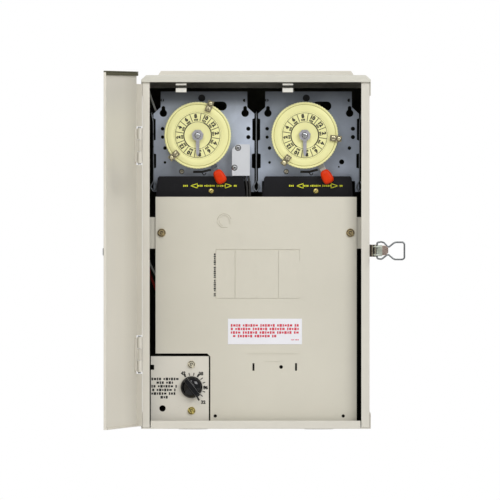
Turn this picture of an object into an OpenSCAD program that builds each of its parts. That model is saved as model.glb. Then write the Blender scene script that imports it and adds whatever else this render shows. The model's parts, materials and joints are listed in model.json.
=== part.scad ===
// Irrigation controller: a wall-hung steel enclosure with two mechanical time switches,
// a dead-front over a small load centre, and a freeze thermostat.
// Millimetres. X to the right, Y back towards the wall, Z up.
// The origin is the centre of the wall screw pattern, on the back face.

/* [Enclosure] */
// Half the outer width of the folded box
box_hw = 126.2; // [110:0.1:140]
// Depth from the wall to the front of the flanges
box_d = 127; // [100:1:160]
// Height of the side walls
box_h = 385; // [340:1:420]
// Thickness of the enclosure steel
sheet = 1.4; // [1:0.1:2]
// Height of the flat roof above the bottom
roof_z = 392; // [350:1:430]
// Half the spacing of the wall screws across
wall_dx = 90; // [60:1:100]
// Half the spacing of the wall screws up and down
wall_dz = 150; // [100:1:170]
// Height of the screw pattern centre above the bottom
wall_z = 195; // [150:1:220]
// Radius of a wall screw hole
wall_r = 3.5; // [2.5:0.1:4.5]
// Radius of the open conduit hole in the bottom
conduit_r = 14.2; // [10:0.1:20]
// Bottom edge of the door
door_low = 1.6; // [0:0.1:8]
// Top edge of the door
door_high = 395.8; // [388:0.1:396]
// Angle the door stands open, from closed
door_open = 97.5; // [90:0.5:110]

/* [Dead-front] */
// Front face of the dead-front, as a depth
dead_y = -112; // [-118:0.5:-100]
// Top of the dead-front
dead_top = 256.6; // [240:0.1:270]

/* [Time switches] */
// Radius of a dial
dial_r = 37.3; // [30:0.1:42]
// Dial centre across, left mechanism
left_x = -64.9; // [-70:0.1:-60]
// Dial centre across, right mechanism
right_x = 54.3; // [50:0.1:60]
// Plate centre across, left mechanism
left_plate_x = -57.9; // [-62:0.1:-55]
// Plate centre across, right mechanism
right_plate_x = 58.5; // [55:0.1:62]
// Dial centre height
dial_z = 325; // [315:0.1:335]
// Width of a mechanism plate
plate_w = 112.4; // [100:0.1:120]
// Front face of a mechanism plate, as a depth
plate_y = -88; // [-95:0.5:-80]
// Teeth on a dial gear
gear_teeth = 48; // [36:12:60]
// Teeth on a motor pinion
pinion_teeth = 12; // [10:1:16]
// Distance from the dial axis to the motor axis
mesh_gap = 30.15; // [30:0.01:30.5]

/* [Thermostat] */
// Knob radius
knob_r = 12; // [9:0.1:14]
// Knob centre across
knob_x = -71.7; // [-80:0.1:-65]
// Knob centre height
knob_z = 44.9; // [40:0.1:50]

/* [Hidden] */
$fn = 40;
hinge_x = -129.4;
hinge_y = -129.4;
pin_r = 1.2;
run_gap = 0.05;
bail_x = 134.5;
bail_y = -136.6;
wire_r = 1.15;
latch_z = 197;
arbor_r = 2.5;
knob_dx = 24.5;
knob_dz = -46;
front_y = -box_d;

// Everything is laid out from the bottom of the box, then lowered to the screw pattern.
module placed() {
  translate([0, 0, -wall_z]) children();
}

module block(x0, x1, y0, y1, z0, z1) {
  translate([x0, y0, z0]) cube([x1 - x0, y1 - y0, z1 - z0]);
}

module ycyl(x, z, y0, y1, r) {
  translate([x, y0, z]) rotate([-90, 0, 0]) cylinder(h = y1 - y0, r = r);
}

module zcyl(x, y, z0, z1, r) {
  translate([x, y, z0]) cylinder(h = z1 - z0, r = r);
}

module xcyl(y, z, x0, x1, r) {
  translate([x0, y, z]) rotate([0, 90, 0]) cylinder(h = x1 - x0, r = r);
}

// A flat outline in X and Z, given depth from y0 to y1
module slab(y0, y1) {
  translate([0, y1, 0]) rotate([90, 0, 0]) linear_extrude(y1 - y0) children();
}

function unit(v) = v / norm(v);

// Points of a route with every corner rounded
function rounded(pts) = [for (i = [0 : len(pts) - 1]) each
  (i == 0 || i == len(pts) - 1) ? [pts[i]] :
    let (a = pts[i - 1] - pts[i], b = pts[i + 1] - pts[i], c = min(norm(a), norm(b)) * 0.42,
      p = pts[i] + unit(a) * c, q = pts[i] + unit(b) * c)
    [for (t = [0 : 0.25 : 1]) (1 - t) * (1 - t) * p + 2 * t * (1 - t) * pts[i] + t * t * q]];

function headings(pts) = [for (i = [0 : len(pts) - 1])
  unit((i == 0 ? [0, 0, 0] : unit(pts[i] - pts[i - 1]))
    + (i == len(pts) - 1 ? [0, 0, 0] : unit(pts[i + 1] - pts[i])))];

// A side direction carried along the route without twist
function carried(dirs, i, u) = i >= len(dirs) ? [] :
  let (n = unit(u - (u * dirs[i]) * dirs[i])) concat([n], carried(dirs, i + 1, n));

// A round wire of radius r along a route, with n sides
module wire(pts, r, n) {
  route = rounded(pts);
  dirs = headings(route);
  sides = carried(dirs, 0, [0.31, 0.52, 0.79]);
  m = len(route);
  rings = [for (i = [0 : m - 1], k = [0 : n - 1])
    route[i] + r * (cos(k * 360 / n) * sides[i] + sin(k * 360 / n) * cross(dirs[i], sides[i]))];
  skins = [for (i = [0 : m - 2], k = [0 : n - 1]) each
    [[i * n + k, (i + 1) * n + k, i * n + (k + 1) % n],
      [(i + 1) * n + k, (i + 1) * n + (k + 1) % n, i * n + (k + 1) % n]]];
  ends = [[for (k = [0 : n - 1]) k], [for (k = [n - 1 : -1 : 0]) (m - 1) * n + k]];
  polyhedron(points = rings, faces = concat(skins, ends));
}

// The door is drawn closed and turned about its hinge
module on_door() {
  translate([hinge_x, hinge_y, 0]) rotate([0, 0, -door_open]) translate([-hinge_x, -hinge_y, 0])
    children();
}

// ---- enclosure ----

module back_outline() {
  polygon([[-box_hw, 0.2], [box_hw, 0.2], [box_hw, box_h + 2.4], [121.6, 391.6], [109.8, 391.6], [106.3, 397],
    [-106.3, 397], [-109.8, 391.6], [-121.6, 391.6], [-box_hw, box_h + 2.4]]);
}

module back_box() {
  color("#cfc9b8") placed() difference() {
    union() {
      slab(-sheet, 0) back_outline();
      block(-box_hw, -box_hw + sheet, front_y, -0.5, 0.2, box_h);
      block(box_hw - sheet, box_hw, front_y, -0.5, 0.2, box_h);
      block(-box_hw, -118.2, front_y, front_y + sheet, 0.2, box_h);
      block(117, box_hw, front_y, front_y + sheet, 0.2, box_h);
      block(-118.2 - sheet, -118.2, front_y, front_y + 7, 9.5, box_h - 12);
      block(117, 117 + sheet, front_y, front_y + 7, 9.5, box_h - 12);
    }
    for (sx = [-1, 1]) {
      for (sz = [-1, 1]) ycyl(sx * wall_dx, wall_z + sz * wall_dz, -sheet - 1, 1, wall_r);
    }
    for (y = [-117, -106]) xcyl(y, latch_z, box_hw - 3, box_hw + 1, 1.7);
  }
}

module bottom_pan() {
  color("#cfc9b8") placed() difference() {
    union() {
      block(-box_hw - 1.4, box_hw + 1.4, front_y, -0.2, -1.2, 0);
      block(-box_hw - 1.4, -box_hw - 0.2, front_y + 8, -6, -1.2, 16);
      block(box_hw + 0.2, box_hw + 1.4, front_y + 8, -6, -1.2, 16);
      block(-117.2, 116.2, front_y, front_y + 1.2, -1.2, 7.8);
      block(-117.2, 116.2, front_y, front_y + 9, 6.6, 7.8);
    }
    zcyl(0, -58, -3, 2, conduit_r);
    zcyl(-70, -58, -3, 2, conduit_r);
    zcyl(70, -58, -3, 2, conduit_r);
  }
}

module conduit_plugs() {
  color("#b9b5a6") placed() for (x = [-70, 70]) {
    zcyl(x, -58, -2.6, -1.3, conduit_r + 2.2);
    difference() {
      zcyl(x, -58, -1.4, 4, conduit_r - 0.15);
      zcyl(x, -58, 0.4, 5, conduit_r - 1.4);
    }
  }
}

// Roof outline across, with sloped shoulders; o is the inset from the outer skin
module roof_across(o) {
  polygon([[-127.6 + o, 369 - 9 * o], [-127.6 + o, 386.8 - o * 0.5], [-121.9 + o * 0.5, roof_z - o],
    [121.9 - o * 0.5, roof_z - o], [127.6 - o, 386.8 - o * 0.5], [127.6 - o, 369 - 9 * o]]);
}

// Roof outline front to back, with a sloped front and a short lip
module roof_along(o) {
  polygon([[-129.4 + o, 384 - 9 * o], [-129.4 + o, 390.8 - o * 0.5], [-128 + o * 0.5, roof_z - o],
    [-1.6, roof_z - o], [-1.6, 369 - 9 * o], [-120, 369 - 9 * o], [-120, 384 - 9 * o]]);
}

module roof_solid(o, y0, y1) {
  intersection() {
    slab(y0, y1) roof_across(o);
    translate([-130, 0, 0]) rotate([90, 0, 90]) linear_extrude(260) roof_along(o);
  }
}

module roof_cap() {
  color("#d6d2c4") placed() difference() {
    roof_solid(0, -130, -1.6);
    roof_solid(1.2, -130, -1);
    block(-box_hw - 0.2, box_hw + 0.2, -8, 0, 350, box_h + 0.3);
  }
}

// ---- door ----

module door_panel() {
  color("#d3cdbd") placed() on_door() {
    block(-128.6, 126, -134, -132.6, door_low, door_high);
    block(124.6, 126, -133, -131.4, door_low, door_high);
    block(-126.4, 126, -133, -130.2, door_high - 1.4, door_high);
    block(-126.4, 126, -133, -130.2, door_low, door_low + 1.4);
    for (z = [[door_low, HINGES[1][0] - 1.9], [HINGES[1][1] + 1.9, HINGES[0][0] - 1.9],
      [HINGES[0][1] + 1.9, 382]]) block(-128.6, -127.4, -133, -126.3, z[0], z[1]);
  }
}

module door_top_strip() {
  color("#5d5a48") placed() on_door() block(-126.2, 124.4, -132.5, -130.2, door_high - 4.8, door_high - 1.5);
}

module door_strike() {
  color("#b5b2a8") placed() on_door() {
    block(100, 117, -134.9, -134.1, latch_z - 5, latch_z + 5);
    block(106.2, 112, -137, -134.5, latch_z - 4, latch_z + 4);
  }
}

HINGES = [[294, 333], [62, 101]];

module hinge_box_leaves() {
  color("#c6c1b1") placed() for (h = HINGES) difference() {
    union() {
      for (z = [[h[0], h[0] + 12.8], [h[1] - 12.8, h[1]]]) {
        zcyl(hinge_x, hinge_y, z[0], z[1], 2.7);
        block(hinge_x - 0.6, hinge_x + 0.6, hinge_y, -124, z[0], z[1]);
        block(hinge_x - 0.6, -126.4, -125.2, -124, z[0], z[1]);
      }
      block(-127.6, -126.4, -125.2, -111, h[0], h[1]);
    }
    zcyl(hinge_x, hinge_y, h[0] - 1, h[1] + 1, pin_r + run_gap);
  }
}

module hinge_door_leaves() {
  color("#c6c1b1") placed() on_door() for (h = HINGES) difference() {
    union() {
      zcyl(hinge_x, hinge_y, h[0] + 13.2, h[1] - 13.2, 2.7);
      block(hinge_x, -126, -132.1, -130.9, h[0] + 13.2, h[1] - 13.2);
      block(-126.2, -113, -132.5, -131.3, h[0] + 1, h[1] - 1);
    }
    zcyl(hinge_x, hinge_y, h[0], h[1], pin_r + run_gap);
  }
}

module hinge_pins() {
  color("#a8a69d") placed() for (h = HINGES) {
    zcyl(hinge_x, hinge_y, h[0] - 0.8, h[1] + 0.8, pin_r);
    zcyl(hinge_x, hinge_y, h[1] + 0.3, h[1] + 1.5, 2.1);
    zcyl(hinge_x, hinge_y, h[0] - 1.5, h[0] - 0.3, 2.1);
  }
}

// ---- latch on the right wall ----

module latch_base() {
  color("#4b4036") placed() difference() {
    union() {
      block(box_hw + 0.1, box_hw + 1.5, -124.6, -100, latch_z - 7, latch_z + 6.5);
      block(box_hw + 0.1, 135.6, -126, -124.6, latch_z - 7, latch_z + 6.5);
      block(134.2, 135.6, -126, -119, latch_z - 7, latch_z + 6.5);
    }
    for (y = [-117, -106]) xcyl(y, latch_z, box_hw - 1, box_hw + 3, 1.7);
  }
}

module latch_rivets() {
  color("#8d8a82") placed() for (y = [-117, -106]) {
    xcyl(y, latch_z, box_hw - 2.2, box_hw + 1.8, 1.6);
    xcyl(y, latch_z, box_hw + 1.6, box_hw + 2.8, 3);
    xcyl(y, latch_z, box_hw - 2.6, box_hw - sheet - 0.2, 2.6);
  }
}

module latch_clevis() {
  color("#aeb0b0") placed() difference() {
    union() {
      block(133.8, 140.3, -127.6, -126.2, latch_z - 6.4, latch_z + 6);
      for (z = [latch_z - 5.5, latch_z + 3.6]) {
        block(130.6, 138.4, -137, -126.4, z, z + 1.4);
        zcyl(bail_x, bail_y, z, z + 1.4, 3);
      }
    }
    zcyl(bail_x, bail_y, latch_z - 9, latch_z + 9, wire_r + run_gap);
  }
}

module latch_tab() {
  color("#b79c92") placed() slab(-125.9, -124.7)
    polygon([[136, latch_z - 4], [140.5, latch_z - 5.4], [144, latch_z - 5.2], [147, latch_z - 2.6],
      [147, latch_z + 2.6], [144, latch_z + 5.4], [140.5, latch_z + 5.6], [136, latch_z + 4]]);
}

// Free run of the bail: across and up
BAIL = [[138.9, 206.7], [142, 205.9], [147, 200.4], [154.1, 206.2], [163.2, 206.2],
  [164.8, 204.4], [164.8, 188.7], [162.8, 187.1], [153.3, 187.1], [146.6, 193], [139.4, 187.3]];

module latch_bail() {
  color("#c3c5c6") placed() {
    wire(concat([[bail_x - 0.6, bail_y, latch_z + 8.6]], [for (p = BAIL) [p[0], bail_y, p[1]]],
      [[bail_x - 0.6, bail_y, latch_z - 8.8]]), wire_r, 12);
    zcyl(bail_x, bail_y, latch_z + 2.6, latch_z + 9.7, wire_r);
    zcyl(bail_x, bail_y, latch_z - 9.9, latch_z - 3, wire_r);
  }
}

// ---- dead-front ----

module deadfront_outline() {
  polygon([[-50.8, 3], [112, 3], [112, dead_top], [-111.7, dead_top], [-111.7, 82.4],
    [-54.2, 82.4], [-50.8, 79]]);
}

// Knockout seams: place across and half width
SEAMS = [[-44.7, 0.15], [-23.3, 0.35], [1.1, 0.12], [25, 0.16], [48.6, 0.14]];

module deadfront_panel() {
  color("#cdc7b6") placed() difference() {
    union() {
      slab(dead_y, dead_y + sheet) deadfront_outline();
      block(-111.7, 112, dead_y, dead_y + 9, dead_top - sheet, dead_top);
      block(-50.8, 112, dead_y, dead_y + 9, 3, 3 + sheet);
      block(-9, 48.5, dead_y - 0.45, dead_y + 0.1, 82.1, 83.1);
      block(9, 30, dead_y - 0.3, dead_y + 0.1, 73.5, 74.2);
      difference() {
        ycyl(-35.3, 230, dead_y - 0.8, dead_y + 0.2, 7.4);
        ycyl(-35.3, 230, dead_y - 1, dead_y + 1, 5.9);
        block(-38.6, -27, dead_y - 1, dead_y + 1, 219, 227.6);
      }
    }
    for (sx = [-105, 105]) ycyl(sx, 216.6, dead_y - 2, dead_y + 3, 2.6);
    for (s = SEAMS) block(s[0] - s[1], s[0] + s[1], dead_y - 1, dead_y + 0.6, 143.8, 197.7);
    block(-44.7, 48.6, dead_y - 1, dead_y + 0.6, 197.2, 198.1);
    block(-44.7, 48.6, dead_y - 1, dead_y + 0.6, 143.6, 144);
    for (x = [-2.8, 44.5]) {
      block(x - 1.1, x + 1.1, dead_y - 1, dead_y + 3, 63.2, 71.6);
    }
    ycyl(27.9, 67.4, dead_y - 1, dead_y + 3, 2);
    for (x = [-45.3, 97]) ycyl(x, 12.9, dead_y - 1, dead_y + 3, 1.8);
  }
}

module deadfront_brackets() {
  color("#c9c3b2") placed() for (s = [-1, 1]) difference() {
    union() {
      block(min(s * 97, s * 124.5), max(s * 97, s * 124.5), dead_y + 1.6, dead_y + 3, 199, 234);
      block(min(s * 123.1, s * 124.5), max(s * 123.1, s * 124.5), dead_y + 1.6, -86, 202, 234);
    }
    ycyl(s * 105, 216.6, dead_y - 1, dead_y + 5, 2.1);
  }
}

module deadfront_screws() {
  color("#8a7348") placed() for (s = [-105, 105]) difference() {
    union() {
      ycyl(s, 216.6, dead_y - 2.2, dead_y - 0.1, 4.7);
      ycyl(s, 216.6, dead_y - 0.3, dead_y + 9, 2.05);
    }
    block(s - 6, s + 6, dead_y - 3, dead_y - 1.2, 216, 217.2);
  }
}

module panel_label() {
  color("#f4f2ee") placed() block(-31.3, 51.1, dead_y - 0.35, dead_y - 0.05, 92.6, 121.1);
}

// ---- load centre behind the dead-front ----

module load_centre_base() {
  color("#3a3b3d") placed() difference() {
    block(-58, 62, -34, -sheet - 0.2, 118, 224);
    block(-40, 44, -35, -22, 126, 216);
    for (x = [-51, 55]) {
      for (z = [128, 214]) ycyl(x, z, -35, -14, 2.4);
    }
  }
}

module bus_bars() {
  color("#b87a4b") placed() for (x = [-22, 12]) {
    block(x, x + 14, -27, -22.2, 130, 212);
    for (i = [0 : 3]) block(x + 4.5, x + 9.5, -46, -26.8, 140 + i * 17, 142.4 + i * 17);
    block(x + 2, x + 12, -38, -26.8, 203, 211.8);
  }
}

module terminal_bars() {
  color("#b9bbb8") placed() for (x = [-100, 90]) difference() {
    block(x, x + 10, -18, -sheet - 0.2, 112, 224);
    for (i = [0 : 6]) ycyl(x + 5, 122 + i * 15.3, -19, -9, 2.2);
  }
}

// ---- thermostat ----

module thermostat_plate() {
  color("#cbc5b3") placed() difference() {
    union() {
      block(-117, -52.4, -110.4, -109, 3, 79.3);
      block(-117, -52.4, -110.4, -103, 77.9, 79.3);
      block(-112, -56, -110.4, -96, 7.5, 8.9);
      block(-112, -56, -97.4, -96, 0.2, 8.9);
    }
    ycyl(-104, 21.3, -112, -107, 3.5);
    block(-118, -113.3, -112, -107, 64.3, 69.8);
    ycyl(knob_x, knob_z, -112, -107, 5);
    for (z = [70.3, 18.8]) ycyl(knob_x, z, -112, -107, 2.2);
  }
}

module thermostat_body() {
  color("#2a2b2d") placed() difference() {
    union() {
      block(-98, -55, -108.8, -78, 24, 66);
      block(-78, -65, -108.8, -104, 14, 76);
      ycyl(knob_x, knob_z, -110.6, -108, 4.8);
      block(-90, -63, -78.2, -70, 32, 58);
    }
    ycyl(knob_x, knob_z, -112, -96, 3.06);
    for (z = [70.3, 18.8]) ycyl(knob_x, z, -110, -100, 1.9);
  }
}

module thermostat_knob() {
  color("#161617") placed() translate([knob_x, 0, knob_z]) {
    ycyl(0, 0, -119, -111.4, knob_r);
    ycyl(0, 0, -120.6, -118.8, 9.2);
    ycyl(0, 0, -111.6, -98, 3);
    rotate([0, 45, 0]) block(-11.6, 11.6, -123, -118.6, -2.6, 2.6);
    for (i = [0 : 11]) rotate([0, i * 30 + 15, 0]) {
      block(knob_r - 0.6, knob_r + 0.7, -118.4, -112, -1.2, 1.2);
    }
  }
}

module thermostat_screws() {
  color("#a38b5c") placed() for (z = [70.3, 18.8]) difference() {
    union() {
      ycyl(knob_x, z, -112.6, -110.5, 4.3);
      ycyl(knob_x, z, -111, -101, 1.85);
    }
    block(knob_x - 5, knob_x + 5, -114, -111.7, z - 0.6, z + 0.6);
  }
}

module thermostat_sensor() {
  color("#b07f52") placed() {
    wire([[-80, -74, 31.8], [-80, -74, 16], [-86, -40, 10], [-100, -30, 8], [-106, -30, 8],
      [-108.5, -30, 20], [-108.5, -30, 24]], 0.9, 8);
    zcyl(-108.5, -30, 23, 75, 3.6);
  }
}

// ---- time switches ----

// Plate outline about its own centre across
module plate_outline() {
  w = plate_w / 2;
  polygon([[-w, 262], [-w + 4.4, 262], [-w + 4.4, 274], [w - 4.4, 274], [w - 4.4, 262], [w, 262],
    [w, 288], [w - 3, 289], [w - 3, 304], [w, 305], [w, 319], [w - 2.4, 320], [w - 2.4, 343],
    [w, 344], [w, 349], [w - 8, 356.4], [w - 8, 373.8], [-w + 8, 373.8], [-w + 8, 356.4],
    [-w, 349], [-w, 344], [-w + 2.4, 343], [-w + 2.4, 320], [-w, 319], [-w, 305],
    [-w + 3, 304], [-w + 3, 289], [-w, 288]]);
}

PLATE_HOLES = [[-42.1, 39.1, 1.8], [49.3, 38.9, 1.8], [1.7, 41.4, 3.9], [-41.9, 7.3, 2],
  [53.6, 7.3, 2.3], [-41.9, -2, 1.8], [53.6, -2, 2.3], [-39.2, -14.2, 2], [49.7, -14.2, 2],
  [-39.2, -30.2, 1.5], [41.1, -29.6, 2.8],
  [37.9, -35.1, 1], [14, 32.6, 5], [24.6, 32.6, 5]];

// px is the plate's centre across and dx the dial's
module timer_plate(px, dx) {
  hx = px - 4.2;
  difference() {
    union() {
      slab(plate_y, plate_y + 1.2) translate([px, 0]) plate_outline();
      for (s = [-46.4, 46.4]) block(px + s - 0.6, px + s + 0.6, plate_y, plate_y + 14, 358, 373);
    }
    for (h = PLATE_HOLES) ycyl(hx + h[0], dial_z + h[1], plate_y - 1, plate_y + 3, h[2]);
    block(hx + 14, hx + 24.6, plate_y - 1, plate_y + 3, dial_z + 27.6, dial_z + 37.6);
    for (k = [-41, 50]) {
      ycyl(hx + k, dial_z + 24.6, plate_y - 1, plate_y + 3, 4.1);
      ycyl(hx + k, dial_z + 30.6, plate_y - 1, plate_y + 3, 2);
      block(hx + k - 2, hx + k + 2, plate_y - 1, plate_y + 3, dial_z + 24.6, dial_z + 30.6);
    }
    ycyl(hx - 20.6, dial_z - 40.4, plate_y - 1, plate_y + 3, 1.3);
    ycyl(dx, dial_z, plate_y - 1, plate_y + 3, 6.1);
    ycyl(dx, dial_z + mesh_gap, plate_y - 1, plate_y + 3, 4);
  }
}

module left_timer_plate() {
  color("#87909a") placed() timer_plate(left_plate_x, left_x);
}

module right_timer_plate() {
  color("#87909a") placed() timer_plate(right_plate_x, right_x);
}

module plate_screws() {
  color("#b9bab6") placed() for (x = [left_plate_x - 24.8, right_plate_x - 24.8]) difference() {
    union() {
      ycyl(x, dial_z - 40.4, plate_y - 1.5, plate_y - 0.1, 2.3);
      ycyl(x, dial_z - 40.4, plate_y - 0.4, plate_y + 5, 1.2);
    }
    block(x - 3, x + 3, plate_y - 2, plate_y - 0.9, dial_z - 40.8, dial_z - 40);
  }
}

// Spring wires beside the plates, each ending in a loop
module retaining_wires() {
  color("#9ea3a8") placed() for (x = [-114, 0.3, 115]) {
    wire([[x + sign(x - 0.3) * 2.4, -62, 352], [x + sign(x - 0.3) * 2.4, -89.6, 350],
      [x + sign(x - 0.3) * 0.4, -89.6, 340], [x, -89.6, 274], [x - 3.6, -89.6, 267.4],
      [x, -89.6, 262], [x + 3.6, -89.6, 267.4], [x + 1.4, -89.6, 273.6]], 0.6, 8);
  }
}

// Posts from the back panel to the plates
module timer_posts() {
  color("#9a9c9e") placed() for (dx = [left_x, right_x]) {
    for (p = [[-40.6, -22], [50, -22], [-34, 43.4], [40, 43.4]]) {
      ycyl(dx + p[0], dial_z + p[1], plate_y + 1.3, -sheet - 0.1, 3.4);
    }
  }
}

module dial_arbors() {
  color("#9fa1a3") placed() for (x = [left_x, right_x]) {
    ycyl(x, dial_z, -105, -80, arbor_r);
    ycyl(x, dial_z, -90.7, -80, 6);
    ycyl(x, dial_z, -86.7, -83, 8.4);
    ycyl(x, dial_z, -107.2, -104.8, 1.5);
  }
}

module dial_pointers() {
  color("#c6c8c8") placed() for (x = [left_x, right_x]) difference() {
    union() {
      ycyl(x, dial_z, -107.4, -105.1, 6.2);
      ycyl(x, dial_z, -109.2, -107.2, 3.4);
      slab(-106.6, -105.6)
        polygon([[x - 2.1, dial_z - 4], [x - 1.7, dial_z - 20], [x, dial_z - 24],
          [x + 1.7, dial_z - 20], [x + 2.1, dial_z - 4]]);
    }
    ycyl(x, dial_z, -107.3, -104, 1.56);
    block(x - 4, x + 4, -110, -108.4, dial_z - 0.5, dial_z + 0.5);
  }
}

module dial(x) {
  translate([x, 0, dial_z]) difference() {
    union() {
      ycyl(0, 0, -104, -101.6, dial_r, $fn = 96);
      ycyl(0, 0, -104.6, -103.6, 27, $fn = 96);
      ycyl(0, 0, -101.8, -94.2, 5);
      ycyl(0, 0, -94.4, -91, 3.9);
    }
    ycyl(0, 0, -106, -88, arbor_r + 0.06);
    difference() {
      ycyl(0, 0, -105, -104.2, 25.2, $fn = 96);
      ycyl(0, 0, -106, -103, 15);
    }
    for (i = [0 : 23]) rotate([0, i * 15, 0]) block(dial_r - 0.9, dial_r + 1, -105, -101, -0.7, 0.7);
  }
}

module left_dial() {
  color("#ece89a") placed() dial(left_x);
}

module right_dial() {
  color("#ece89a") placed() dial(right_x);
}

// A gear outline: n teeth on pitch radius rp, turned by ph
module gear_outline(n, rp, ph) {
  s = 90 / n;
  polygon([for (i = [0 : n - 1], k = [0 : 3])
    let (a = ph + 360 / n * i + [-1.15, -0.42, 0.42, 1.15][k] * s, r = rp + [-1.2, 0.85, 0.85, -1.2][k])
    [r * cos(a), r * sin(a)]]);
}

module dial_gear(x) {
  translate([x, 0, dial_z]) difference() {
    slab(-94, -91.2) gear_outline(gear_teeth, gear_teeth / 2, 0);
    ycyl(0, 0, -96, -90, 4);
    for (a = [45 : 90 : 315]) rotate([0, a, 0]) ycyl(14, 0, -96, -90, 4);
  }
}

module left_dial_gear() {
  color("#c9a25a") placed() dial_gear(left_x);
}

module right_dial_gear() {
  color("#c9a25a") placed() dial_gear(right_x);
}

// A day tripper: a clip on the rim with a thumbscrew, at angle a from +X
module tripper(x, a) {
  translate([x, 0, dial_z]) rotate([0, -a, 0]) {
    block(28.2, 41, -106.2, -104.9, -3.3, 3.3);
    block(31, 41, -101.5, -100.2, -3.3, 3.3);
    block(39.7, 41.2, -106.2, -100.2, -3.3, 3.3);
    ycyl(32, 0, -108.8, -106, 2.6, $fn = 24);
    block(29.4, 34.6, -109.6, -108.6, -0.7, 0.7);
  }
}

module left_trippers() {
  color("#b3aa93") placed() {
    tripper(left_x, 67.9);
    tripper(left_x, 220.5);
  }
}

module right_trippers() {
  color("#b3aa93") placed() {
    tripper(right_x, -5.8);
    tripper(right_x, 233);
  }
}

module motor(x) {
  translate([x, 0, dial_z + mesh_gap]) difference() {
    union() {
      ycyl(0, 0, -78, -52, 18);
      ycyl(0, 0, -86.6, -77.9, 8);
      ycyl(0, 0, -52.1, -49, 9);
      for (a = [180, -48]) rotate([0, -a, 0]) block(0, 25, -86.6, -85, -4.5, 4.5);
    }
    ycyl(0, 0, -87, -72, 3);
    for (a = [180, -48]) rotate([0, -a, 0]) ycyl(20.5, 0, -88, -82, 1.6);
  }
}

module left_motor() {
  color("#b5b7b5") placed() motor(left_x);
}

module right_motor() {
  color("#b5b7b5") placed() motor(right_x);
}

module pinion(x) {
  translate([x, 0, dial_z + mesh_gap]) {
    slab(-94.4, -90.8) gear_outline(pinion_teeth, pinion_teeth / 2, 15);
    ycyl(0, 0, -91, -74, 2.94);
  }
}

module left_pinion() {
  color("#a9abad") placed() pinion(left_x);
}

module right_pinion() {
  color("#a9abad") placed() pinion(right_x);
}

// The trip lever turns on the shoulder of the arbor and steps forward over the cover
module trip_lever(x) {
  a = atan2(knob_dz, knob_dx);
  translate([x, 0, dial_z]) rotate([0, -a, 0]) difference() {
    union() {
      ycyl(0, 0, -90.3, -88.9, 9);
      block(6, 42.6, -90.3, -88.9, -3.4, 3.4);
      block(41.2, 42.6, -99.6, -88.9, -3.4, 3.4);
      block(41.2, 52, -99.6, -98.2, -3.4, 3.4);
    }
    ycyl(0, 0, -92, -87, 6.06);
  }
}

module left_trip_lever() {
  color("#7d8083") placed() trip_lever(left_x);
}

module right_trip_lever() {
  color("#7d8083") placed() trip_lever(right_x);
}

module lever_knob(x) {
  translate([x + knob_dx, 0, dial_z + knob_dz]) rotate([0, -28, 0]) {
    slab(-107, -99.7) offset(r = 4.4) square([6.4, 4.2], center = true);
    slab(-108.4, -106.8) offset(r = 3.2) square([6.2, 4], center = true);
  }
}

module left_lever_knob() {
  color("#f4501a") placed() lever_knob(left_x);
}

module right_lever_knob() {
  color("#f4501a") placed() lever_knob(right_x);
}

module switch_block(x) {
  difference() {
    union() {
      block(x - 46, x + 46, -86, -54, 222, 261);
      for (i = [-2.5 : 1 : 2.5]) block(x + i * 16 - 0.8, x + i * 16 + 0.8, -92, -85.8, 226, 258);
    }
    for (i = [-2 : 2]) ycyl(x + i * 16, 242, -87, -74, 2.3);
  }
}

module left_switch_block() {
  color("#3f3a35") placed() switch_block(left_plate_x);
}

module right_switch_block() {
  color("#3f3a35") placed() switch_block(right_plate_x);
}

module terminal_screws() {
  color("#c0a463") placed() for (x = [left_plate_x, right_plate_x]) {
    for (i = [-2 : 2]) difference() {
      union() {
        ycyl(x + i * 16, 242, -89.4, -86.1, 4.2);
        ycyl(x + i * 16, 242, -86.6, -76, 2.2);
      }
      block(x + i * 16 - 5, x + i * 16 + 5, -90, -88.2, 241.5, 242.5);
    }
  }
}

module cover_outline(x0, x1) {
  polygon([[x0 - 5, 232], [x1 + 5, 232], [x1 + 1, 266], [x1, 277.4], [x1 - 1.6, 279.4],
    [x0 + 1.6, 279.4], [x0, 277.4], [x0 - 1, 266]]);
}

module left_cover() {
  color("#141414") placed() difference() {
    union() {
      slab(-96, -94.8) cover_outline(-109.4, -13.6);
      block(-109.4, -13.6, -96, -92.5, 232, 233.2);
    }
    ycyl(-49.9, 263, -98, -93, 2);
  }
}

module right_cover() {
  color("#141414") placed() difference() {
    union() {
      slab(-96, -94.8) cover_outline(9, 106.4);
      block(9, 106.4, -96, -92.5, 232, 233.2);
    }
    ycyl(66.7, 263, -98, -93, 2);
  }
}

module cover_screws() {
  color("#c9a95e") placed() for (x = [-49.9, 66.7]) difference() {
    union() {
      ycyl(x, 263, -97.8, -96.1, 3);
      ycyl(x, 263, -96.3, -88.5, 1.6);
    }
    block(x - 4, x + 4, -98.5, -97, 262.5, 263.5);
  }
}

module fireman_switch() {
  color("#d2d3d0") placed() difference() {
    slab(-98, -88.2)
      polygon([[-26.7, 280], [-6.8, 280], [-6.8, 315], [-21.4, 315], [-26.7, 309.7]]);
    for (p = [[-20, 311], [-24, 289]]) ycyl(p[0], p[1], -99, -90, 1.5);
  }
}

module fireman_screws() {
  color("#b9bab6") placed() for (p = [[-20, 311], [-24, 289]]) difference() {
    union() {
      ycyl(p[0], p[1], -99.4, -98.1, 2.7);
      ycyl(p[0], p[1], -98.4, -91, 1.4);
    }
    block(p[0] - 3, p[0] + 3, -100, -98.8, p[1] - 0.4, p[1] + 0.4);
  }
}

module top_clips() {
  color("#dcdad2") placed() for (x = [-89.2, 29.4]) {
    block(x, x + 11.9, -122, -120.8, 372.8, 377.6);
    block(x, x + 11.9, -122, -52, 376.4, 377.6);
    block(x, x + 11.9, -53.2, -52, 376.4, 390.4);
    block(x, x + 11.9, -126.4, -125.2, 380.6, 382.8);
    block(x, x + 11.9, -126.4, -52, 381.6, 382.8);
  }
}

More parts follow.
